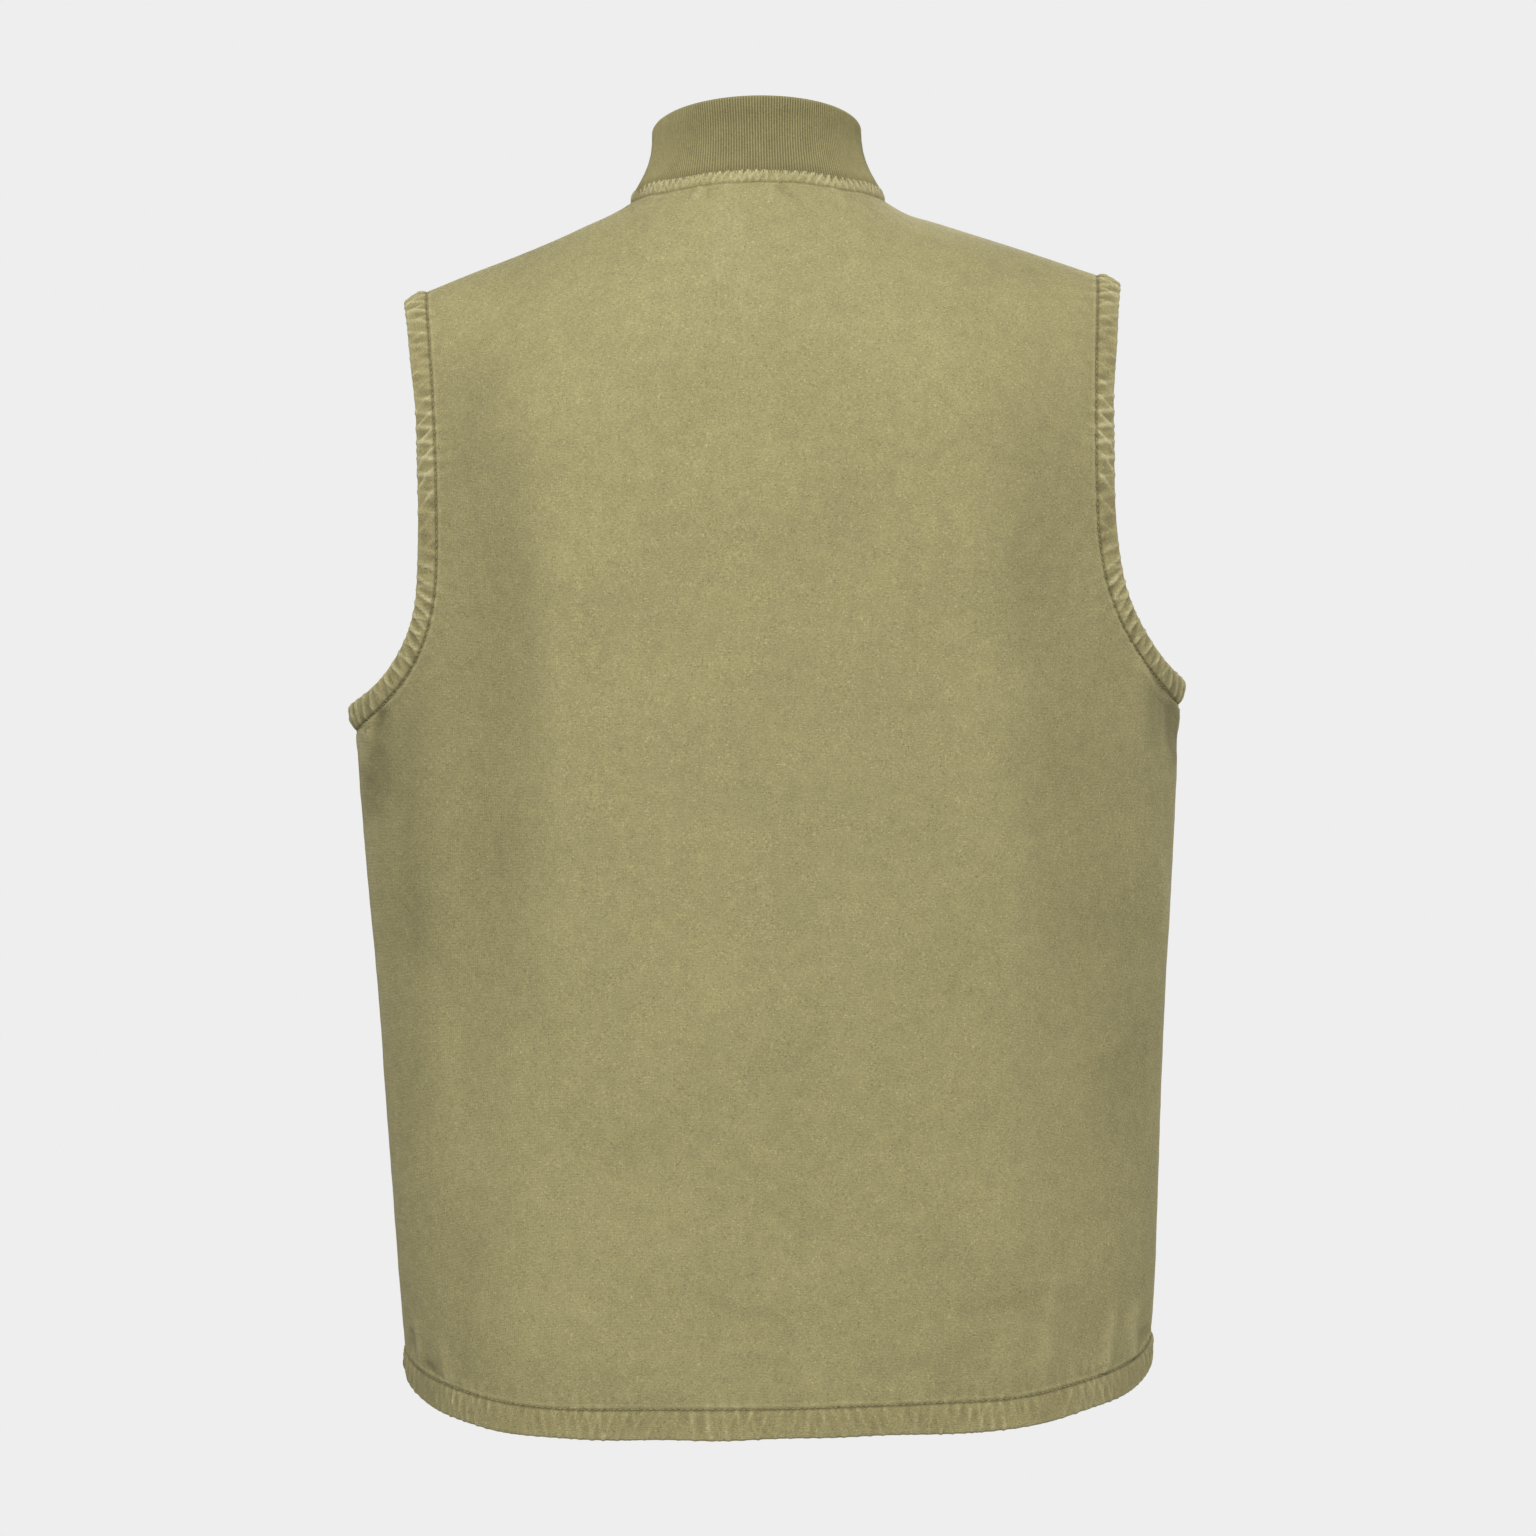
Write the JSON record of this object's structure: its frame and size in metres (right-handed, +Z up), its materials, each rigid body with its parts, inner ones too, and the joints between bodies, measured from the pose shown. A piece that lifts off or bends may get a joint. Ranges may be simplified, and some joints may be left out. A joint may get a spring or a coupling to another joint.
{
  "type": "canvas vest",
  "caption": "Sleeveless canvas vest with a rib-knit stand collar, bound armholes and hem and a front zip, hollow and filled out as worn.",
  "frame": {"origin": "middle of the neck at the height of the inner ends of the shoulder seams, where a wearer's shoulders hold the vest", "axes": "+Z up, +Y towards the vest's back and +X towards the wearer's left, so the front faces -Y"},
  "size_m": [0.4726, 0.2659, 0.7288],
  "materials": {
    "canvas": "garment-washed olive cotton canvas, matt and mottled",
    "canvas_band": "the same canvas, turned, puckered and topstitched",
    "rib_knit": "fine one-by-one rib knit in a darker olive",
    "zip_tape": "woven zip tape in dark olive",
    "zip_metal": "aged brass, dull"
  },
  "bodies": {
    "vest": {"back_panel": "canvas", "front_left_panel": "canvas", "front_right_panel": "canvas", "armhole_band_left": "canvas_band", "armhole_band_right": "canvas_band", "hem_band_back": "canvas_band", "hem_band_front_left": "canvas_band", "hem_band_front_right": "canvas_band", "neck_band": "canvas_band", "collar_rib": "rib_knit", "zip_tape_left": "zip_tape", "zip_tape_right": "zip_tape", "zip_chain": "zip_metal", "zip_top_stop_left": "zip_metal", "zip_top_stop_right": "zip_metal", "zip_bottom_box": "zip_metal", "zip_slider": "zip_metal"},
    "zip_pull": {"zip_pull": "zip_metal"}
  },
  "joints": [
    {"name": "pull_swing", "type": "hinge", "parent": "vest", "child": "zip_pull", "pos_m": [0, -0.06213, -0.03388], "axis": [-1, 0, 0], "range_deg": [0, 150]}
  ]
}
